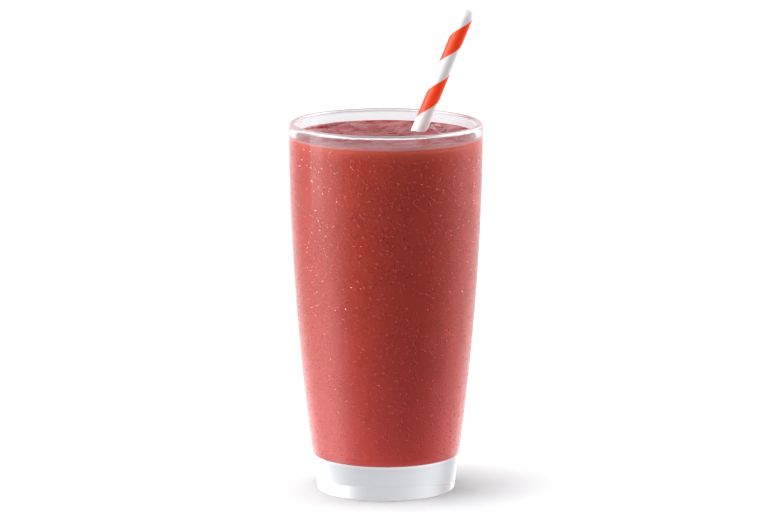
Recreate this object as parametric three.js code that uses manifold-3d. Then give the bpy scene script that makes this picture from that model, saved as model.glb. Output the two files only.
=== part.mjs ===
// A berry smoothie in a tall glass tumbler, with a striped paper straw.
// Millimetres, +Z up. The origin is the middle of the glass's flat underside,
// and the straw leans towards +X.

import * as THREE from 'three';
import { mergeVertices } from 'three/addons/utils/BufferGeometryUtils.js';
import Module from 'manifold-3d';

// The glass
const glassHeight = 151;
const rimRadius = 39.4;         // outside, at the lip
const footRadius = 28.1;        // outside, where the wall's curve would meet the table
const sideBow = 1.95;           // power of the wall's outward bow, 1 being a straight cone
const rimWall = 2.4;
const footWall = 3.6;
const baseThickness = 13.9;     // clear glass under the drink
const footRound = 0.35;         // outer bottom corner
const wellRound = 4.5;          // inner bottom corner
const lipReach = 1.5;           // the lip's outer shoulder, across and down
const lipDrop = 1.7;
const lipInnerDrop = 0.8;       // its inner edge, down

// The drink
const freeHeight = 5.3;         // lip down to the drink's mean level
const meniscusRise = 0.35;      // climb against the wall
const meniscusWidth = 2.5;
const rippleHeight = 0.22;      // crest above the mean level
const rippleLength = 19;        // crest to crest

// The straw
const strawRadius = 3.1;        // outside
const strawWall = 0.45;
const strawLength = 150;
const strawOut = 53.3;          // length that stands out of the drink, along the straw
const strawLean = THREE.MathUtils.degToRad(22);
const strawEntry = new THREE.Vector2(13.5, 11.2);   // where its axis passes the drink's level

// Fineness and fits
const fitGap = 0.3;             // between two pieces that touch
const turnSteps = 64;
const wallSteps = 12;
const cornerSteps = 5;
const lipSteps = 4;
const surfaceSteps = 7;
const strawSides = 24;

const drinkLevel = glassHeight - freeHeight;
const wasm = await Module();
wasm.setup();

// The wall's outer radius: vertical at the lip, drawing in faster towards the foot.
function outerRadius(z) {
  const below = 1 - z / glassHeight;
  return rimRadius - (rimRadius - footRadius) * below ** sideBow;
}

function wallThickness(z) {
  return THREE.MathUtils.lerp(footWall, rimWall, z / glassHeight);
}

function innerRadius(z) {
  return outerRadius(z) - wallThickness(z);
}

// Lean of a wall curve away from the vertical, in radians, at a height.
function wallLean(radiusAt, z) {
  const step = 0.1;
  return Math.atan2(radiusAt(z + step) - radiusAt(z - step), 2 * step);
}

// A round corner from a flat floor at a height into a wall, as points from the floor up.
function floorCorner(radiusAt, floor, round) {
  const lean = wallLean(radiusAt, floor + round);
  const wallStart = floor + round * (1 - Math.sin(lean));
  const middle = radiusAt(wallStart) - round * Math.cos(lean);
  const arc = new THREE.EllipseCurve(middle, floor + round, round, round, -Math.PI / 2, -lean);
  return arc.getPoints(cornerSteps);
}

// Points of a wall curve between two heights, without its first one.
function wallRun(radiusAt, from, to) {
  const run = [];
  for (let i = 1; i <= wallSteps; i += 1) {
    const z = THREE.MathUtils.lerp(from, to, i / wallSteps);
    run.push(new THREE.Vector2(radiusAt(z), z));
  }
  return run;
}

// A profile of radius and height, turned about Z.
function turned(profile) {
  const geometry = new THREE.LatheGeometry(profile, turnSteps);
  return geometry.rotateX(Math.PI / 2);
}

function glassGeometry() {
  const foot = floorCorner(outerRadius, 0, footRound);
  const well = floorCorner(innerRadius, baseThickness, wellRound);
  const outside = wallRun(outerRadius, foot.at(-1).y, glassHeight - lipDrop);
  const inside = wallRun(innerRadius, well.at(-1).y, glassHeight - lipInnerDrop);
  const outerEdge = outside.at(-1);
  const innerEdge = inside.at(-1);
  const crest = outerEdge.x - lipReach;
  const shoulder = new THREE.EllipseCurve(crest, outerEdge.y, lipReach, lipDrop, 0, Math.PI / 2);
  const drinkingEdge = new THREE.EllipseCurve(
    crest, innerEdge.y, crest - innerEdge.x, lipInnerDrop, Math.PI / 2, Math.PI,
  );
  return turned([
    new THREE.Vector2(0, 0),
    ...foot,
    ...outside,
    ...shoulder.getPoints(lipSteps).slice(1),
    ...drinkingEdge.getPoints(lipSteps).slice(1, -1),
    ...inside.reverse(),
    ...well.reverse(),
    new THREE.Vector2(0, baseThickness),
  ]);
}

// Height of the drink's surface over its mean level: low crossing swells that
// die out at the wall, where the drink climbs a little.
function surfaceRelief(x, y, edge) {
  const fromWall = edge - Math.hypot(x, y);
  const wave = (2 * Math.PI) / rippleLength;
  const swell = Math.sin(wave * (x * 0.8 + y * 0.6)) * Math.sin(wave * (y * 0.9 - x * 0.3) + 1);
  const calm = THREE.MathUtils.smoothstep(fromWall, 0, meniscusWidth * 2);
  const climb = 1 - THREE.MathUtils.smoothstep(fromWall, 0, meniscusWidth);
  return rippleHeight * swell * calm + meniscusRise * climb;
}

function drinkBody() {
  const radiusAt = (z) => innerRadius(z) - fitGap;
  const corner = floorCorner(radiusAt, baseThickness + fitGap, wellRound);
  const side = wallRun(radiusAt, corner.at(-1).y, drinkLevel);
  const edge = side.at(-1).x;
  const shore = edge - meniscusWidth;
  const surface = [new THREE.Vector2(edge - meniscusWidth / 2, drinkLevel)];
  for (let i = 0; i <= surfaceSteps; i += 1) {
    surface.push(new THREE.Vector2(shore * (1 - i / surfaceSteps), drinkLevel));
  }
  const geometry = turned([new THREE.Vector2(0, baseThickness + fitGap), ...corner, ...side, ...surface]);
  const place = geometry.attributes.position;
  for (let i = 0; i < place.count; i += 1) {
    if (place.getZ(i) > drinkLevel - fitGap) {
      place.setZ(i, drinkLevel + surfaceRelief(place.getX(i), place.getY(i), edge));
    }
  }
  return geometry;
}

// A straight round tube along +Z.
function tube(outside, inside, length) {
  const ring = new THREE.Shape().absarc(0, 0, outside, 0, 2 * Math.PI);
  ring.holes.push(new THREE.Path().absarc(0, 0, inside, 0, 2 * Math.PI, true));
  return new THREE.ExtrudeGeometry(ring, { depth: length, bevelEnabled: false, curveSegments: strawSides / 2 });
}

// The pose that stands a tube's foot on the straw's axis, a distance below the
// drink's level along that axis.
function strawPose(below) {
  const turn = new THREE.Quaternion().setFromAxisAngle(new THREE.Vector3(0, 1, 0), strawLean);
  const along = new THREE.Vector3(0, 0, 1).applyQuaternion(turn);
  const entry = new THREE.Vector3(strawEntry.x, strawEntry.y, drinkLevel);
  return { turn, foot: entry.addScaledVector(along, -below) };
}

// A closed geometry as a solid that can be cut.
function solidOf(geometry) {
  const bare = geometry.clone();
  bare.deleteAttribute('normal');
  bare.deleteAttribute('uv');
  const merged = mergeVertices(bare);
  const corners = merged.index.array;
  const triangles = [];
  for (let i = 0; i < corners.length; i += 3) {
    const [a, b, c] = corners.slice(i, i + 3);
    if (a !== b && b !== c && c !== a) triangles.push(a, b, c);
  }
  return new wasm.Manifold(new wasm.Mesh({
    numProp: 3,
    vertProperties: new Float32Array(merged.attributes.position.array),
    triVerts: new Uint32Array(triangles),
  }));
}

function geometryOf(solid) {
  const mesh = solid.getMesh();
  const geometry = new THREE.BufferGeometry();
  geometry.setAttribute('position', new THREE.BufferAttribute(mesh.vertProperties, mesh.numProp));
  geometry.setIndex(new THREE.BufferAttribute(mesh.triVerts, 1));
  geometry.computeVertexNormals();
  return geometry;
}

// The drink, cut round the straw's wall. It also stands inside the straw, up to the same level.
function smoothieGeometry() {
  const sunk = strawLength - strawOut;
  const sleeve = tube(strawRadius + fitGap, strawRadius - strawWall - fitGap, strawLength + fitGap);
  const { turn, foot } = strawPose(sunk + fitGap);
  sleeve.applyQuaternion(turn).translate(foot.x, foot.y, foot.z);
  return geometryOf(solidOf(drinkBody()).subtract(solidOf(sleeve)));
}

const clearGlass = new THREE.MeshStandardMaterial({
  color: 0xeef2f4, roughness: 0.04, metalness: 0, transparent: true, opacity: 0.3,
});
const berryDrink = new THREE.MeshStandardMaterial({ color: 0xb04a44, roughness: 0.35, metalness: 0 });
const stripedPaper = new THREE.MeshStandardMaterial({ color: 0xf4efec, roughness: 0.7, metalness: 0 });

function piece(name, geometry, material) {
  const mesh = new THREE.Mesh(geometry, material);
  mesh.name = name;
  return mesh;
}

const glass = piece('glass', glassGeometry(), clearGlass);
const smoothie = piece('smoothie', smoothieGeometry(), berryDrink);
const straw = piece('straw', tube(strawRadius, strawRadius - strawWall, strawLength), stripedPaper);
const stand = strawPose(strawLength - strawOut);
straw.quaternion.copy(stand.turn);
straw.position.copy(stand.foot);

const drink = new THREE.Group();
drink.add(glass, smoothie, straw);

export default drink;
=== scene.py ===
import math

import bpy
import numpy as np
from mathutils import Euler, Matrix, Vector


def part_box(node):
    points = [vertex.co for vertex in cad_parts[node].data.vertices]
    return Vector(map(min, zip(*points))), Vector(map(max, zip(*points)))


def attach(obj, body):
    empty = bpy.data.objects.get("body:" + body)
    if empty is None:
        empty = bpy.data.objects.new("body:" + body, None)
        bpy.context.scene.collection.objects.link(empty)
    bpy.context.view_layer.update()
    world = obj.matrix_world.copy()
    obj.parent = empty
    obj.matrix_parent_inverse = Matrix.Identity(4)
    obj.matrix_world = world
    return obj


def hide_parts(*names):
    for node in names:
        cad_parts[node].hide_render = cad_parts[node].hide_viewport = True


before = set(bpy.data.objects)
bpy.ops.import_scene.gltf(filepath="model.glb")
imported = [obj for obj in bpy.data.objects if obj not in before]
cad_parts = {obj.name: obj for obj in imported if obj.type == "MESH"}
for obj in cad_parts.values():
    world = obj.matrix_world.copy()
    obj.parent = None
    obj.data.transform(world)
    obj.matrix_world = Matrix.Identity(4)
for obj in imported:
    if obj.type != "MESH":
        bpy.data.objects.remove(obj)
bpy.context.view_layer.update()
mm = 0.001
glassLow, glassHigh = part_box("glass")
drinkLow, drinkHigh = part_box("smoothie")
strawLow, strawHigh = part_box("straw")
print("frame loaded:", ", ".join(sorted(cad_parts)))


# small helpers for node trees, used by shapes and materials alike
def addNode(tree, kind, inputs=None, **settings):
    made = tree.nodes.new(kind)
    for name, value in settings.items():
        setattr(made, name, value)
    for key, value in (inputs or {}).items():
        if isinstance(value, bpy.types.NodeSocket):
            tree.links.new(value, made.inputs[key])
        else:
            made.inputs[key].default_value = value
    return made


def calc(tree, operation, first, second=0.0, third=0.0):
    node = addNode(tree, "ShaderNodeMath", {0: first, 1: second, 2: third}, operation=operation)
    return node.outputs[0]


def mapped(tree, value, fromLow, fromHigh, toLow=0.0, toHigh=1.0, smooth=True):
    kind = "SMOOTHSTEP" if smooth else "LINEAR"
    inputs = {0: value, 1: fromLow, 2: fromHigh, 3: toLow, 4: toHigh}
    return addNode(tree, "ShaderNodeMapRange", inputs, interpolation_type=kind).outputs[0]


def mixColour(tree, share, first, second):
    mix = addNode(tree, "ShaderNodeMix", data_type="RGBA")
    for socket, value in ((mix.inputs[0], share), (mix.inputs[6], first), (mix.inputs[7], second)):
        if isinstance(value, bpy.types.NodeSocket):
            tree.links.new(value, socket)
        else:
            socket.default_value = value
    return mix.outputs[2]


def newShapeTree(name, sizes):
    tree = bpy.data.node_groups.new(name, "GeometryNodeTree")
    tree.interface.new_socket("Geometry", in_out="INPUT", socket_type="NodeSocketGeometry")
    for label, kind in sizes.items():
        tree.interface.new_socket(label, in_out="INPUT", socket_type="NodeSocket" + kind)
    tree.interface.new_socket("Geometry", in_out="OUTPUT", socket_type="NodeSocketGeometry")
    return tree, tree.nodes.new("NodeGroupInput").outputs


def endShapeTree(tree, geometry):
    addNode(tree, "NodeGroupOutput", {0: geometry})
    return tree


# runs a tree on an object and keeps the result as a plain mesh
def bakeShape(piece, tree, values):
    shaper = piece.modifiers.new("shape", "NODES")
    shaper.node_group = tree
    for item in tree.interface.items_tree:
        if item.in_out == "INPUT" and item.name in values:
            shaper[item.identifier] = values[item.name]
    evaluated = piece.evaluated_get(bpy.context.evaluated_depsgraph_get())
    mesh = bpy.data.meshes.new_from_object(evaluated)
    piece.modifiers.remove(shaper)
    piece.data = mesh
    mesh.name = piece.name
    return piece


# turns an outline of radius (X) and height (Z) points about the Z axis
def makeTurnTree():
    tree, given = newShapeTree("Turned outline", {"Turn Steps": "Int", "Material": "Material"})
    size = addNode(tree, "GeometryNodeAttributeDomainSize", {"Geometry": given["Geometry"]})
    rows = size.outputs["Point Count"]
    columns = calc(tree, "ADD", given["Turn Steps"], 1)
    grid = addNode(tree, "GeometryNodeMeshGrid", {"Vertices X": columns, "Vertices Y": rows})
    index = addNode(tree, "GeometryNodeInputIndex").outputs[0]
    row = calc(tree, "MODULO", index, rows)
    column = calc(tree, "FLOOR", calc(tree, "DIVIDE", index, rows))
    angle = calc(tree, "DIVIDE", calc(tree, "MULTIPLY", column, math.tau), given["Turn Steps"])
    place = addNode(tree, "GeometryNodeInputPosition").outputs[0]
    point = addNode(tree, "GeometryNodeSampleIndex", {
        "Geometry": given["Geometry"], "Value": place, "Index": row}, data_type="FLOAT_VECTOR")
    zone = addNode(tree, "GeometryNodeInputNamedAttribute", {"Name": "zone"}, data_type="FLOAT")
    zoneAt = addNode(tree, "GeometryNodeSampleIndex", {
        "Geometry": given["Geometry"], "Value": zone.outputs[0], "Index": row}, data_type="FLOAT")
    axes = addNode(tree, "ShaderNodeSeparateXYZ", {0: point.outputs[0]})
    turned = addNode(tree, "ShaderNodeCombineXYZ", {
        "X": calc(tree, "MULTIPLY", axes.outputs["X"], calc(tree, "COSINE", angle)),
        "Y": calc(tree, "MULTIPLY", axes.outputs["X"], calc(tree, "SINE", angle)),
        "Z": axes.outputs["Z"],
    })
    kept = addNode(tree, "GeometryNodeStoreNamedAttribute", {
        "Geometry": grid.outputs["Mesh"], "Name": "zone", "Value": zoneAt.outputs[0]}, data_type="FLOAT")
    placed = addNode(tree, "GeometryNodeSetPosition", {
        "Geometry": kept.outputs[0], "Position": turned.outputs[0]})
    welded = addNode(tree, "GeometryNodeMergeByDistance", {"Geometry": placed.outputs[0], "Distance": 1e-6})
    smooth = addNode(tree, "GeometryNodeSetShadeSmooth", {"Geometry": welded.outputs[0]})
    real = addNode(tree, "GeometryNodeRealizeInstances", {"Geometry": smooth.outputs[0]})
    dressed = addNode(tree, "GeometryNodeSetMaterial", {
        "Geometry": real.outputs[0], "Material": given["Material"]})
    return endShapeTree(tree, dressed.outputs[0])


turnTree = makeTurnTree()


# an outline is a list of (radius, height, zone), from the bottom up the outside
def turnOutline(name, outline, steps, material=None):
    mesh = bpy.data.meshes.new(name)
    mesh.from_pydata([(r, 0, z) for r, z, zone in outline], [], [])
    zones = mesh.attributes.new("zone", "FLOAT", "POINT")
    zones.data.foreach_set("value", [zone for r, z, zone in outline])
    piece = bpy.data.objects.new(name, mesh)
    bpy.context.scene.collection.objects.link(piece)
    return bakeShape(piece, turnTree, {"Turn Steps": steps, "Material": material})


def smoothStep(low, high, value):
    share = min(1.0, max(0.0, (value - low) / (high - low)))
    return share * share * (3 - 2 * share)


# the tumbler's wall, from the frame's box and a few sizes that the box can't give
tumbler = {
    "footRadius": 28.1 * mm,      # where the wall's curve would meet the table
    "sideBow": 1.95,              # 1 would be a straight cone
    "rimWall": 2.4 * mm,
    "footWall": 3.6 * mm,
    "baseThickness": 13.9 * mm,
    "footRound": 0.03 * mm,
    "wellRound": 4.5 * mm,
    "lipReach": 1.5 * mm,         # the lip's outer shoulder, across and down
    "lipDrop": 1.7 * mm,
    "lipInnerDrop": 0.8 * mm,
    "lipFull": 0.9 * mm,          # from here up the lip is painted greyer and made milky, as painted shade and a painted highlight
    "lipMilkyHighlight": 0.4,
    "turnSteps": 320,
    "wallSteps": 60,
    "cornerSteps": 14,
    "lipSteps": 16,
    "flatSupport": 0.3 * mm,      # keeps the flat faces flat under smooth shading
    "clearRoughness": 0.04,
    "mistRoughness": 0.16,        # how far fine condensation blurs the outside
    "mistScale": 1300,            # its finest beads, as relief in the glass's finish
    "mistHeight": 0.016 * mm,
    "mistEdge": (0.45, 0.05),     # a bead's rim and crown, as shares of its cell
}
rimRadius = glassHigh.x
glassHeight = glassHigh.z


def outerRadius(z):
    below = max(0.0, 1 - z / glassHeight)
    return rimRadius - (rimRadius - tumbler["footRadius"]) * below ** tumbler["sideBow"]


def innerRadius(z):
    share = z / glassHeight
    return outerRadius(z) - tumbler["footWall"] * (1 - share) - tumbler["rimWall"] * share


def arc(centreR, centreZ, reachR, reachZ, start, end, steps):
    angles = [start + (end - start) * i / steps for i in range(steps + 1)]
    return [(centreR + reachR * math.cos(a), centreZ + reachZ * math.sin(a)) for a in angles]


# a round corner from a flat floor into a wall, from the floor up
def floorCorner(radiusAt, floor, rounding):
    step = 0.1 * mm
    lean = math.atan2(radiusAt(floor + rounding + step) - radiusAt(floor + rounding - step), 2 * step)
    wallStart = floor + rounding * (1 - math.sin(lean))
    middle = radiusAt(wallStart) - rounding * math.cos(lean)
    corner = arc(middle, floor + rounding, rounding, rounding, -math.pi / 2, -lean, tumbler["cornerSteps"])
    return [(0, floor), (corner[0][0] - tumbler["flatSupport"], floor)] + corner


def wallRun(radiusAt, low, high, steps):
    heights = [low + (high - low) * i / steps for i in range(1, steps + 1)]
    return [(radiusAt(z), z) for z in heights]


# how misted the outside is at a height: only where the cold drink stands behind it
def mistAt(z):
    return smoothStep(drinkLow.z - 1 * mm, drinkLow.z + 5 * mm, z) * (1 - smoothStep(
        drinkHigh.z - 6 * mm, drinkHigh.z - 1 * mm, z))


# painted light: the inside wall is tinted pink just above the drink, a painted glow of the drink's colour
# there
def paintedGlowAt(z):
    return smoothStep(drinkLow.z, drinkHigh.z - 4 * mm, z) * (1 - smoothStep(
        drinkHigh.z - 0.5 * mm, drinkHigh.z + 2.6 * mm, z))


def tumblerOutline():
    quarter = math.pi / 2
    foot = floorCorner(outerRadius, 0, tumbler["footRound"])
    well = floorCorner(innerRadius, tumbler["baseThickness"], tumbler["wellRound"])
    outside = wallRun(outerRadius, foot[-1][1], glassHeight - tumbler["lipDrop"], tumbler["wallSteps"])
    inside = wallRun(innerRadius, well[-1][1], glassHeight - tumbler["lipInnerDrop"], tumbler["wallSteps"])
    outerEdge, innerEdge = outside[-1], inside[-1]
    crest = outerEdge[0] - tumbler["lipReach"]
    inward = crest - innerEdge[0]
    steps = tumbler["lipSteps"]
    lip = arc(crest, outerEdge[1], tumbler["lipReach"], tumbler["lipDrop"], 0, quarter, steps)[1:]
    lip += arc(crest, innerEdge[1], inward, tumbler["lipInnerDrop"], quarter, math.pi, steps)[1:-1]
    outline = [(r, z, 0) for r, z in foot]
    outline += [(r, z, mistAt(z)) for r, z in outside]
    outline += [(r, z, 0) for r, z in lip]
    outline += [(r, z, -paintedGlowAt(z)) for r, z in inside[::-1] + well[::-1]]
    return outline


def newMaterial(name):
    material = bpy.data.materials.new(name)
    material.use_nodes = True
    tree = material.node_tree
    tree.nodes.clear()
    shader = addNode(tree, "ShaderNodeBsdfPrincipled")
    addNode(tree, "ShaderNodeOutputMaterial", {"Surface": shader.outputs[0]})
    return material, tree, shader


def clearGlass():
    material, tree, shader = newMaterial("clearGlass")
    shader.inputs["Transmission Weight"].default_value = 1
    shader.inputs["IOR"].default_value = 1.5
    zone = addNode(tree, "ShaderNodeAttribute", attribute_name="zone").outputs["Fac"]
    spot = addNode(tree, "ShaderNodeTexCoord").outputs["Object"]
    height = addNode(tree, "ShaderNodeSeparateXYZ", {0: spot}).outputs["Z"]
    thickBaseShade = mapped(tree, height, tumbler["baseThickness"] + 1 * mm, tumbler["baseThickness"] - 1 * mm)
    glassTintAndShade = mixColour(tree, thickBaseShade, (0.94, 0.94, 0.94, 1), (0.64, 0.65, 0.66, 1))   # thick glass is greyer, and the base is darkened further as painted shade for the shaded table seen through it
    lipShadeAndHighlight = mapped(tree, height, glassHeight - tumbler["lipDrop"], glassHeight - tumbler["lipFull"])
    glassTintAndShade = mixColour(tree, lipShadeAndHighlight, glassTintAndShade, (0.45, 0.45, 0.47, 1))   # the lip's edge is painted greyer, as painted shade
    # the lip is made partly milky: a painted highlight, a pale band along its edge
    clear = calc(tree, "MULTIPLY_ADD", lipShadeAndHighlight, -tumbler["lipMilkyHighlight"], 1)
    tree.links.new(clear, shader.inputs["Transmission Weight"])
    # painted glow: pink on the inside wall just above the drink
    paintedGlow = calc(tree, "MAXIMUM", calc(tree, "MULTIPLY", zone, -1), 0)
    tree.links.new(mixColour(tree, paintedGlow, glassTintAndShade, (0.96, 0.80, 0.78, 1)), shader.inputs["Base Color"])
    patches = addNode(tree, "ShaderNodeTexNoise", {"Vector": spot, "Scale": 140, "Detail": 3}).outputs["Fac"]
    cover = mapped(tree, patches, 0.3, 0.7, 0.6, 1.0)
    mist = calc(tree, "MULTIPLY", calc(tree, "MULTIPLY", calc(tree, "MAXIMUM", zone, 0), cover),
                tumbler["mistRoughness"])
    roughness = calc(tree, "MAXIMUM", mist, tumbler["clearRoughness"])
    first = addNode(tree, "ShaderNodeLightPath").outputs["Is Camera Ray"]   # light in the wall stays sharp
    tree.links.new(calc(tree, "MULTIPLY", roughness, first), shader.inputs["Roughness"])
    cells = addNode(tree, "ShaderNodeTexVoronoi", {"Vector": spot, "Scale": tumbler["mistScale"]})
    rounded = mapped(tree, cells.outputs["Distance"], *tumbler["mistEdge"])
    domes = calc(tree, "MULTIPLY", rounded, calc(tree, "MAXIMUM", zone, 0))
    bump = addNode(tree, "ShaderNodeBump", {
        "Strength": 1, "Distance": tumbler["mistHeight"], "Height": domes})
    tree.links.new(bump.outputs[0], shader.inputs["Normal"])
    return material


def finishPiece(piece, node=None):
    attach(piece, "root")
    if node:
        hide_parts(node)
    print("made", piece.name, "with", len(piece.data.polygons), "faces")


tumblerPiece = turnOutline("tumbler", tumblerOutline(), tumbler["turnSteps"], clearGlass())
finishPiece(tumblerPiece, "glass")


# the drink reaches a little into the wall, so that no air shows between them
smoothie = {
    "reach": 0.2 * mm,
    "freeHeight": 5.3 * mm,       # lip down to the mean level
    "meniscusRise": 0.4 * mm,
    "meniscusWidth": 2.2 * mm,
    "sideSteps": 40,
    "surfaceRings": 90,
    "turnSteps": 256,
    "swellHeight": 2.2 * mm,      # broad lumps
    "swellLength": 16 * mm,
    "rippleHeight": 2.2 * mm,     # finer folds on them
    "rippleLength": 6 * mm,
    "shore": 1.2 * mm,            # the relief dies out over this width at the wall
    "calmFrom": -33 * mm,         # and over this run towards the near side
    "calmTo": -12 * mm,
    "seed": 3.7,
}
drinkLevel = glassHeight - smoothie["freeHeight"]


def smoothieOutline():
    def radiusAt(z):
        return innerRadius(z) + smoothie["reach"]

    corner = floorCorner(radiusAt, tumbler["baseThickness"] - smoothie["reach"], tumbler["wellRound"])
    top = drinkLevel + smoothie["meniscusRise"]
    side = wallRun(radiusAt, corner[-1][1], top, smoothie["sideSteps"])
    edge = side[-1][0]
    outline = [(r, z, 0) for r, z in corner + side]
    rings = smoothie["surfaceRings"]
    for i in range(1, rings + 1):
        fromWall = edge * (i / rings) ** 1.25      # closer rings at the wall
        climb = (1 - smoothStep(0, smoothie["meniscusWidth"], fromWall)) ** 2
        calm = smoothStep(0, smoothie["shore"], fromWall)
        outline.append((edge - fromWall, drinkLevel + smoothie["meniscusRise"] * climb, 0.05 + 0.95 * calm))
    return outline


# lifts the drink's top into lumps and folds, and gives it its own finish
def makeSurfaceTree():
    tree, given = newShapeTree("Lumpy drink top", {
        "Swell Height": "Float", "Swell Length": "Float", "Ripple Height": "Float", "Ripple Length": "Float",
        "Calm From": "Float", "Calm To": "Float", "Seed": "Float", "Top Material": "Material"})
    zone = addNode(tree, "GeometryNodeInputNamedAttribute", {"Name": "zone"}, data_type="FLOAT").outputs[0]
    place = addNode(tree, "GeometryNodeInputPosition").outputs[0]

    def relief(length, height, detail, distortion):
        noise = addNode(tree, "ShaderNodeTexNoise", {
            "Vector": place, "W": given["Seed"], "Scale": calc(tree, "DIVIDE", 1, length),
            "Detail": detail, "Distortion": distortion}, noise_dimensions="4D")
        return calc(tree, "MULTIPLY", calc(tree, "SUBTRACT", noise.outputs[0], 0.5), height)

    swell = relief(given["Swell Length"], given["Swell Height"], 1, 0.6)
    ripple = relief(given["Ripple Length"], given["Ripple Height"], 2, 1.5)
    axes = addNode(tree, "ShaderNodeSeparateXYZ", {0: place})
    calm = mapped(tree, axes.outputs["Y"], given["Calm From"], given["Calm To"], 0.1, 1)
    lift = calc(tree, "MULTIPLY", calc(tree, "MULTIPLY", calc(tree, "ADD", swell, ripple), calm), zone)
    onTop = calc(tree, "GREATER_THAN", zone, 0.01)
    offset = addNode(tree, "ShaderNodeCombineXYZ", {"Z": lift})
    lifted = addNode(tree, "GeometryNodeSetPosition", {
        "Geometry": given["Geometry"], "Selection": onTop, "Offset": offset.outputs[0]})
    real = addNode(tree, "GeometryNodeRealizeInstances", {"Geometry": lifted.outputs[0]})
    dressed = addNode(tree, "GeometryNodeSetMaterial", {
        "Geometry": real.outputs[0], "Selection": onTop, "Material": given["Top Material"]})
    return endShapeTree(tree, dressed.outputs[0])


def berryColour(tree, spot, deep, plain, pale, edges=(0.35, 0.65)):
    cloud = addNode(tree, "ShaderNodeTexNoise", {
        "Vector": spot, "Scale": 100, "Detail": 6, "Roughness": 0.68})
    grain = addNode(tree, "ShaderNodeTexNoise", {"Vector": spot, "Scale": 900, "Detail": 2})
    base = mixColour(tree, mapped(tree, cloud.outputs[0], *edges), plain, pale)
    return mixColour(tree, mapped(tree, grain.outputs[0], 0.62, 0.74), base, deep)


def smoothieSide():
    material, tree, shader = newMaterial("smoothieSide")
    spot = addNode(tree, "ShaderNodeTexCoord").outputs["Object"]
    deep = (0.36, 0.034, 0.022, 1)
    plain = (0.55, 0.072, 0.042, 1)
    pale = (0.59, 0.081, 0.049, 1)
    colour = berryColour(tree, spot, deep, plain, pale)
    height = addNode(tree, "ShaderNodeSeparateXYZ", {0: spot}).outputs["Z"]
    lowDown = mapped(tree, height, drinkLow.z + 75 * mm, drinkLow.z + 5 * mm, 0, 0.85)
    colour = mixColour(tree, lowDown, colour, (0.65, 0.098, 0.082, 1))   # pinker towards the bottom
    # painted light: the drink turns a brighter orange towards its top, standing in for light that shines in
    # through its surface
    paintedTopGlow = mapped(tree, height, drinkLevel - 7 * mm, drinkLevel, 0, 0.5)
    colour = mixColour(tree, paintedTopGlow, colour, (0.76, 0.15, 0.09, 1))
    foam = mapped(tree, height, drinkLevel - 1.0 * mm, drinkLevel - 0.3 * mm, 0, 0.8)
    tree.links.new(mixColour(tree, foam, colour, (0.70, 0.34, 0.35, 1)), shader.inputs["Base Color"])
    shader.inputs["Roughness"].default_value = 0.3
    shader.inputs["IOR"].default_value = 1.12      # drink against glass
    return material


def smoothieTop():
    material, tree, shader = newMaterial("smoothieTop")
    spot = addNode(tree, "ShaderNodeTexCoord").outputs["Object"]
    deep = (0.09, 0.003, 0.003, 1)
    plain = (0.16, 0.012, 0.011, 1)
    pale = (0.26, 0.065, 0.067, 1)
    colour = berryColour(tree, spot, deep, plain, pale, edges=(0.38, 0.66))
    across = addNode(tree, "ShaderNodeSeparateXYZ", {0: spot}).outputs["Y"]
    calm = mapped(tree, across, smoothie["calmFrom"], smoothie["calmTo"])
    tree.links.new(mixColour(tree, calm, plain, colour), shader.inputs["Base Color"])
    grain = addNode(tree, "ShaderNodeTexNoise", {"Vector": spot, "Scale": 700, "Detail": 2})
    bump = addNode(tree, "ShaderNodeBump", {
        "Strength": 0.15, "Distance": 0.2 * mm, "Height": grain.outputs[0]})
    tree.links.new(bump.outputs[0], shader.inputs["Normal"])
    shader.inputs["Roughness"].default_value = 0.22
    shader.inputs["IOR"].default_value = 1.14
    return material


smoothiePiece = turnOutline("smoothieFill", smoothieOutline(), smoothie["turnSteps"], smoothieSide())
bakeShape(smoothiePiece, makeSurfaceTree(), {
    "Swell Height": smoothie["swellHeight"], "Swell Length": smoothie["swellLength"],
    "Ripple Height": smoothie["rippleHeight"], "Ripple Length": smoothie["rippleLength"],
    "Calm From": smoothie["calmFrom"], "Calm To": smoothie["calmTo"],
    "Seed": smoothie["seed"], "Top Material": smoothieTop()})
finishPiece(smoothiePiece, "smoothie")


# the straw is turned upright, then leaned into its place
straw = {
    "radius": 3.1 * mm,
    "wall": 0.45 * mm,
    "length": 150 * mm,
    "lean": math.radians(22),
    "entry": Vector((13.5 * mm, 11.2 * mm, drinkLevel)),     # where the axis passes the drink's level
    "out": 53.3 * mm,             # length above the drink, along the straw
    "edgeRound": 0.12 * mm,
    "turnSteps": 48,
    "rows": 40,
    "pitch": 24.33 * mm,          # of the spiral stripe
    "stripeShare": 0.49,
    "stripeFromTop": 7.15 * mm,   # down to the first stripe's upper edge, on the near side
}
strawTurn = Euler((0, straw["lean"], 0)).to_matrix()
strawAlong = strawTurn @ Vector((0, 0, 1))
strawFoot = straw["entry"] - strawAlong * (straw["length"] - straw["out"])


def strawOutline():
    outer = straw["radius"]
    inner = outer - straw["wall"]
    soft = straw["edgeRound"]
    rows = [i / straw["rows"] for i in range(straw["rows"] + 1)]
    heights = [soft + (straw["length"] - 2 * soft) * share for share in rows]
    loop = [(inner + soft, 0), (outer - soft, 0)]
    loop += [(outer, z) for z in heights]
    loop += [(outer - soft, straw["length"]), (inner + soft, straw["length"])]
    loop += [(inner, z) for z in heights[::-1]]
    return [(r, z, 0) for r, z in loop + loop[:1]]


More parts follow.
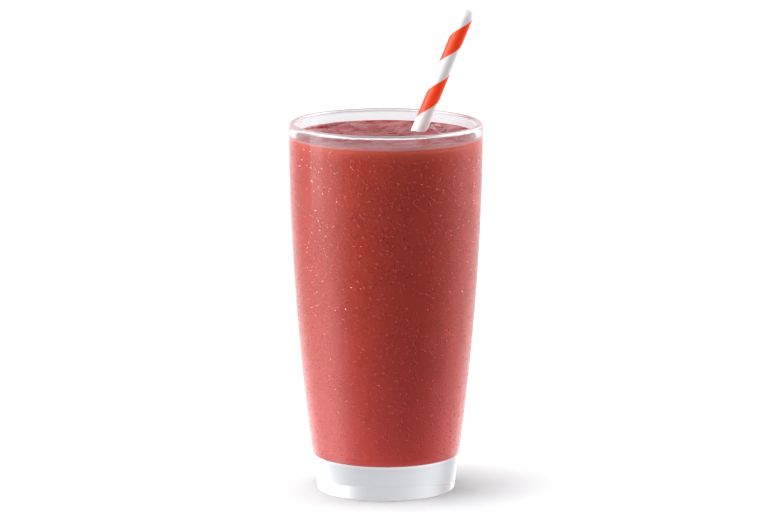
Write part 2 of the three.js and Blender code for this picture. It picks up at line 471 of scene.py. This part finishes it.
def stripedPaper():
    material, tree, shader = newMaterial("stripedPaper")
    spot = addNode(tree, "ShaderNodeTexCoord").outputs["Object"]
    onStraw = addNode(tree, "ShaderNodeMapping", {
        "Vector": spot, "Location": strawFoot, "Rotation": (0, straw["lean"], 0)}, vector_type="TEXTURE")
    axes = addNode(tree, "ShaderNodeSeparateXYZ", {0: onStraw.outputs[0]})
    turned = calc(tree, "DIVIDE", calc(tree, "ARCTAN2", axes.outputs["Y"], axes.outputs["X"]), math.tau)
    along = calc(tree, "DIVIDE", axes.outputs["Z"], straw["pitch"])
    nearSide = -0.25                                  # a quarter turn from +X to the near side
    start = (straw["length"] - straw["stripeFromTop"]) / straw["pitch"] - nearSide
    phase = calc(tree, "SUBTRACT", calc(tree, "SUBTRACT", along, turned), start)
    wobble = addNode(tree, "ShaderNodeTexNoise", {"Vector": onStraw.outputs[0], "Scale": 1500, "Detail": 2})
    drift = calc(tree, "MULTIPLY", calc(tree, "SUBTRACT", wobble.outputs[0], 0.5), 0.012)
    turn = calc(tree, "FRACT", calc(tree, "ADD", phase, drift))
    soft = 0.006
    edge = 1 - straw["stripeShare"]
    ink = calc(tree, "MULTIPLY", mapped(tree, turn, edge - soft, edge + soft),
               mapped(tree, turn, 1 - soft, 1, 1, 0))
    fromAxis = addNode(tree, "ShaderNodeVectorMath", {
        0: onStraw.outputs[0], 1: (1, 1, 0)}, operation="MULTIPLY")
    radius = addNode(tree, "ShaderNodeVectorMath", {0: fromAxis.outputs[0]}, operation="LENGTH")
    outer = straw["radius"]
    outside = mapped(tree, radius.outputs["Value"], outer - 0.2 * mm, outer - 0.05 * mm)
    ink = calc(tree, "MULTIPLY", ink, outside)        # the inside stays plain
    fibre = addNode(tree, "ShaderNodeTexNoise", {"Vector": onStraw.outputs[0], "Scale": 2600, "Detail": 4})
    paper = mixColour(tree, fibre.outputs[0], (0.59, 0.58, 0.57, 1), (0.67, 0.66, 0.65, 1))
    orange = mixColour(tree, fibre.outputs[0], (0.74, 0.038, 0.004, 1), (0.81, 0.060, 0.010, 1))
    tree.links.new(mixColour(tree, ink, paper, orange), shader.inputs["Base Color"])
    bump = addNode(tree, "ShaderNodeBump", {
        "Strength": 0.25, "Distance": 0.05 * mm, "Height": fibre.outputs[0]})
    tree.links.new(bump.outputs[0], shader.inputs["Normal"])
    shader.inputs["Roughness"].default_value = 0.36
    shader.inputs["Specular IOR Level"].default_value = 0.25
    return material


strawPiece = turnOutline("paperStraw", strawOutline(), straw["turnSteps"], stripedPaper())
strawPiece.data.transform(Matrix.Translation(strawFoot) @ strawTurn.to_4x4())
finishPiece(strawPiece, "straw")


# condensation on the outside, beside the cold drink: sizes are the drops' radii
condensation = {
    "dewFine": {"Spacing": 0.8 * mm, "Density": 0.5e6, "Smallest": 0.12 * mm, "Largest": 0.26 * mm,
                "Size Bias": 1.3, "Flatness": 0.22, "Sides": 5, "Rings": 2, "Seed": 11},
    "dewBeads": {"Spacing": 1.2 * mm, "Density": 0.18e6, "Smallest": 0.22 * mm, "Largest": 0.44 * mm,
                 "Size Bias": 1.6, "Flatness": 0.21, "Sides": 8, "Rings": 3, "Seed": 23},
    "dewDrops": {"Spacing": 2.1 * mm, "Density": 0.065e6, "Smallest": 0.34 * mm, "Largest": 0.56 * mm,
                 "Size Bias": 1.6, "Flatness": 0.21, "Sides": 10, "Rings": 4, "Seed": 37},
}


# scatters low round drops over a wall patch, more where its zone is higher
def makeDewTree():
    tree, given = newShapeTree("Condensation", {
        "Spacing": "Float", "Density": "Float", "Smallest": "Float", "Largest": "Float", "Size Bias": "Float",
        "Flatness": "Float", "Sides": "Int", "Rings": "Int", "Seed": "Int", "Material": "Material"})
    zone = addNode(tree, "GeometryNodeInputNamedAttribute", {"Name": "zone"}, data_type="FLOAT").outputs[0]
    spots = addNode(tree, "GeometryNodeDistributePointsOnFaces", {
        "Mesh": given["Geometry"], "Distance Min": given["Spacing"], "Density Max": given["Density"],
        "Density Factor": zone, "Seed": given["Seed"]}, distribute_method="POISSON")
    cone = addNode(tree, "GeometryNodeMeshCone", {
        "Vertices": given["Sides"], "Side Segments": given["Rings"],
        "Radius Top": 0, "Radius Bottom": 1, "Depth": 1})
    place = addNode(tree, "GeometryNodeInputPosition").outputs[0]
    axes = addNode(tree, "ShaderNodeSeparateXYZ", {0: place})
    across = axes.outputs["X"]
    along = axes.outputs["Y"]
    spread = calc(tree, "ADD", calc(tree, "POWER", across, 2), calc(tree, "POWER", along, 2))
    height = calc(tree, "MULTIPLY", calc(tree, "SUBTRACT", 1, spread), given["Flatness"])
    sunk = calc(tree, "SUBTRACT", height, 0.06)
    domed = addNode(tree, "ShaderNodeCombineXYZ", {"X": across, "Y": along, "Z": sunk})
    flat = addNode(tree, "GeometryNodeSetShadeSmooth", {
        "Geometry": cone.outputs["Mesh"], "Shade Smooth": False})
    smooth = addNode(tree, "GeometryNodeSetShadeSmooth", {
        "Geometry": flat.outputs[0], "Selection": cone.outputs["Side"], "Shade Smooth": True})
    drop = addNode(tree, "GeometryNodeSetPosition", {
        "Geometry": smooth.outputs[0], "Position": domed.outputs[0]})

    def chance(low, high, step):
        seed = calc(tree, "ADD", given["Seed"], step)
        made = addNode(tree, "FunctionNodeRandomValue", {2: low, 3: high, "Seed": seed}, data_type="FLOAT")
        return made.outputs[1]

    share = calc(tree, "POWER", chance(0, 1, 1), given["Size Bias"])
    span = calc(tree, "SUBTRACT", given["Largest"], given["Smallest"])
    size = calc(tree, "MULTIPLY_ADD", span, share, given["Smallest"])
    scale = addNode(tree, "ShaderNodeCombineXYZ", {
        "X": calc(tree, "MULTIPLY", size, chance(0.85, 1.15, 2)),
        "Y": calc(tree, "MULTIPLY", size, chance(0.85, 1.15, 3)), "Z": size})
    drops = addNode(tree, "GeometryNodeInstanceOnPoints", {
        "Points": spots.outputs["Points"], "Instance": drop.outputs[0],
        "Rotation": spots.outputs["Rotation"], "Scale": scale.outputs[0]})
    real = addNode(tree, "GeometryNodeRealizeInstances", {"Geometry": drops.outputs[0]})
    dressed = addNode(tree, "GeometryNodeSetMaterial", {
        "Geometry": real.outputs[0], "Material": given["Material"]})
    return endShapeTree(tree, dressed.outputs[0])


# beads this small take their colour from the drink close behind them
def beadedWater():
    material, tree, shader = newMaterial("beadedWater")
    spot = addNode(tree, "ShaderNodeTexCoord").outputs["Object"]
    cloud = addNode(tree, "ShaderNodeTexNoise", {"Vector": spot, "Scale": 600, "Detail": 1})
    colour = mixColour(tree, cloud.outputs[0], (0.35, 0.050, 0.042, 1), (0.50, 0.098, 0.086, 1))
    tree.links.new(colour, shader.inputs["Base Color"])
    shader.inputs["Roughness"].default_value = 0.08
    shader.inputs["IOR"].default_value = 1.18
    return material


dewTree = makeDewTree()
water = beadedWater()
wetRows = 80
wetTurns = 160
wetWall = [(outerRadius(z), z, mistAt(z)) for z in np.linspace(drinkLow.z, drinkHigh.z, wetRows)]
dewPieces = []
for kind, sizes in condensation.items():
    dewPiece = turnOutline(kind, wetWall, wetTurns)
    bakeShape(dewPiece, dewTree, {**sizes, "Material": water})
    finishPiece(dewPiece)
    dewPieces.append(dewPiece)


# a white studio, bright from both sides and dim towards the camera; fades are in the sine of the elevation
studio = {
    "floorSize": 6.0,
    "floorColour": (0.25, 0.252, 0.252, 1),
    "keyGlow": 9.2,               # the light that throws the shadow
    "keySoftness": 32,
    "keyTilt": (-3, -7),
    "sweepColour": (0.985, 0.995, 1.03, 1),
    "frontGlow": 0.14,
    "throughGlow": 0.8,           # the sweep as the glass shows it from any side
    "topGlow": 0.6,
    "tableGlow": 1.0,             # the far table, well under eye level
    "tableTurn": 25,              # brighter on the left
    "tableSpread": 0.6,
    "tableFade": (-0.2, -0.33),
    "eyeFade": (-0.1, 0.15),      # from under eye level to over it
    "topFade": (0.5, 0.95),
}

# broad softboxes round the sweep: azimuth 0 is the camera's side and 90 the right,
# and each glows differently over and under eye level
softboxes = {
    "left": {"azimuth": -73, "tightness": 10, "above": 10.3, "below": 0},
    "right": {"azimuth": 110, "tightness": 9.5, "above": 11.8, "below": 0},
    "leftTable": {"azimuth": -80, "tightness": 9, "above": 0, "below": 1.8},
    "rightTable": {"azimuth": 96, "tightness": 9, "above": 0, "below": 0.5},
    "backLeft": {"azimuth": -151, "tightness": 24, "above": 0.4, "below": 0.35},
    "backRight": {"azimuth": 142, "tightness": 30, "above": 0.6, "below": 0.2},
    "back": {"azimuth": 180, "tightness": 0.6, "above": 0.85, "below": 0.83},
    "front": {"azimuth": 25, "tightness": 1, "above": 0.38, "below": 0},
}

# boxes that only show as reflections, and two that only fill in shade
lipGlints = {
    "lipFront": {"azimuth": 0, "spread": 100, "low": 22, "high": 62, "glow": 15},
    "lipLeft": {"azimuth": -90, "spread": 80, "low": 20, "high": 60, "glow": 8},
    "lipRight": {"azimuth": 90, "spread": 80, "low": 20, "high": 60, "glow": 8},
    "wallLeft": {"azimuth": -90, "spread": 20, "low": -13, "high": -5, "glow": 1.2},
}
blush = (1, 0.62, 0.55)            # the drink's colour gets into the drops' lights
dropGlints = {
    "dropsLeft": {"azimuth": -97, "spread": 46, "low": -4, "high": 30, "glow": 170, "colour": blush},
}
dewGlints = {
    "dewRight": {"azimuth": 127, "spread": 44, "low": -6, "high": 24, "glow": 50, "colour": blush},
}
dewFill = {
    "dewFront": {"azimuth": 5, "spread": 90, "low": 0, "high": 40, "glow": 0.36},
}
strawFill = {
    "strawFront": {"azimuth": 40, "spread": 80, "low": 0, "high": 40, "glow": 0.75},
}


def makeFloor():
    half = studio["floorSize"] / 2
    drop = -0.05 * mm              # just under the glass's underside
    mesh = bpy.data.meshes.new("floor")
    corners = [(-half, -half, drop), (half, -half, drop), (half, half, drop), (-half, half, drop)]
    mesh.from_pydata(corners, [], [(0, 1, 2, 3)])
    floor = bpy.data.objects.new("floor", mesh)
    bpy.context.scene.collection.objects.link(floor)
    material, tree, shader = newMaterial("paleFloor")
    shader.inputs["Base Color"].default_value = studio["floorColour"]
    shader.inputs["Roughness"].default_value = 0.8
    shader.inputs["Specular IOR Level"].default_value = 0.1
    mesh.materials.append(material)
    floor.visible_glossy = False   # the glass is lit by the sweep alone, and not by the table
    floor.visible_diffuse = False
    floor.visible_shadow = False
    floor.visible_transmission = False
    return floor


def makeGlint(name, box, pieces, fill):
    away = 1.2
    eye = 0.13                     # height that the angles are taken from
    low = away * math.tan(math.radians(box["low"]))
    high = away * math.tan(math.radians(box["high"]))
    azimuth = math.radians(box["azimuth"])
    light = bpy.data.lights.new(name, "AREA")
    light.shape = "RECTANGLE"
    light.size = 2 * away * math.tan(math.radians(box["spread"] / 2))
    light.size_y = high - low
    light.energy = box["glow"] * math.pi * light.size * light.size_y
    light.color = box.get("colour", (1, 1, 1))
    lamp = bpy.data.objects.new(name, light)
    bpy.context.scene.collection.objects.link(lamp)
    lamp.location = (away * math.sin(azimuth), -away * math.cos(azimuth), eye + (low + high) / 2)
    lamp.rotation_euler = (math.pi / 2, 0, azimuth)
    lamp.visible_camera = False
    lamp.visible_diffuse = fill
    lamp.visible_glossy = not fill
    lamp.visible_transmission = False
    lamp.light_linking.receiver_collection = pieces


# a soft high light from the left that only the table takes, for the shadow on the right
def makeFloorKey(floor):
    light = bpy.data.lights.new("floorKey", "SUN")
    light.energy = studio["keyGlow"]
    light.angle = math.radians(studio["keySoftness"])
    lamp = bpy.data.objects.new("floorKey", light)
    bpy.context.scene.collection.objects.link(lamp)
    lamp.rotation_euler = (math.radians(studio["keyTilt"][0]), math.radians(studio["keyTilt"][1]), 0)
    lit = bpy.data.collections.new("table")
    lit.objects.link(floor)
    lamp.light_linking.receiver_collection = lit


def makeSweep():
    world = bpy.data.worlds.new("studioSweep")
    bpy.context.scene.world = world
    world.use_nodes = True
    tree = world.node_tree
    tree.nodes.clear()
    direction = addNode(tree, "ShaderNodeTexCoord").outputs["Generated"]
    axes = addNode(tree, "ShaderNodeSeparateXYZ", {0: direction})
    level = addNode(tree, "ShaderNodeCombineXYZ", {"X": axes.outputs["X"], "Y": axes.outputs["Y"]})
    around = addNode(tree, "ShaderNodeVectorMath", {0: level.outputs[0]}, operation="NORMALIZE").outputs[0]
    glow = studio["frontGlow"]
    for box in softboxes.values():
        azimuth = math.radians(box["azimuth"])
        towards = (math.sin(azimuth), -math.cos(azimuth), 0)
        facing = addNode(tree, "ShaderNodeVectorMath", {0: around, 1: towards}, operation="DOT_PRODUCT")
        lobe = calc(tree, "POWER", calc(tree, "MAXIMUM", facing.outputs["Value"], 0), box["tightness"])
        lift = mapped(tree, axes.outputs["Z"], *studio["eyeFade"], box["below"], box["above"])
        glow = calc(tree, "MULTIPLY_ADD", lobe, lift, glow)
    aside = math.radians(studio["tableTurn"])
    beyond = (-math.sin(aside), math.cos(aside), 0)
    facing = addNode(tree, "ShaderNodeVectorMath", {0: direction, 1: beyond}, operation="DOT_PRODUCT")
    far = calc(tree, "POWER", calc(tree, "MAXIMUM", facing.outputs["Value"], 0), studio["tableSpread"])
    table = mapped(tree, axes.outputs["Z"], *studio["tableFade"], 0, studio["tableGlow"])
    glow = calc(tree, "MULTIPLY_ADD", far, table, glow)
    overhead = mapped(tree, axes.outputs["Z"], *studio["topFade"])
    glow = addNode(tree, "ShaderNodeMix", {0: overhead, 2: glow, 3: studio["topGlow"]})
    path = addNode(tree, "ShaderNodeLightPath").outputs
    unlit = calc(tree, "LESS_THAN", path["Diffuse Depth"], 0.5)
    through = calc(tree, "MULTIPLY", path["Is Transmission Ray"], unlit)      # straight through clear glass
    strength = calc(tree, "MAXIMUM", glow.outputs[0], calc(tree, "MULTIPLY", through, studio["throughGlow"]))
    strength = calc(tree, "MAXIMUM", strength, path["Is Camera Ray"])
    sweep = addNode(tree, "ShaderNodeBackground", {"Color": studio["sweepColour"], "Strength": strength})
    addNode(tree, "ShaderNodeOutputWorld", {"Surface": sweep.outputs[0]})


makeFloorKey(makeFloor())
for glints, pieces, fill in ((lipGlints, [tumblerPiece], False), (dropGlints, dewPieces[1:], False),
                             (dewGlints, dewPieces[:2], False), (dewFill, dewPieces, True),
                             (strawFill, [strawPiece], True)):
    for glintName, box in glints.items():
        lit = bpy.data.collections.new(glintName)
        for piece in pieces:
            lit.objects.link(piece)
        makeGlint(glintName, box, lit, fill)
makeSweep()
bpy.context.scene.view_settings.view_transform = "Standard"
bpy.context.scene.cycles.glossy_bounces = 8
bpy.context.scene.cycles.blur_glossy = 0
print("studio set")


# the camera stands in front (-Y), a little above, with a long lens
view = {
    "lens": 198.5,
    "aside": -0.73 * mm,
    "distance": 1.696,
    "height": 0.4112,
    "pitch": math.radians(10.536),
}


def makeCamera():
    data = bpy.data.cameras.new("camera")
    data.lens = view["lens"]
    data.sensor_width = 36
    data.clip_end = 50
    camera = bpy.data.objects.new("camera", data)
    bpy.context.scene.collection.objects.link(camera)
    camera.location = (view["aside"], -view["distance"], view["height"])
    camera.rotation_euler = (math.pi / 2 - view["pitch"], 0, 0)
    bpy.context.scene.camera = camera


makeCamera()
print("camera set")
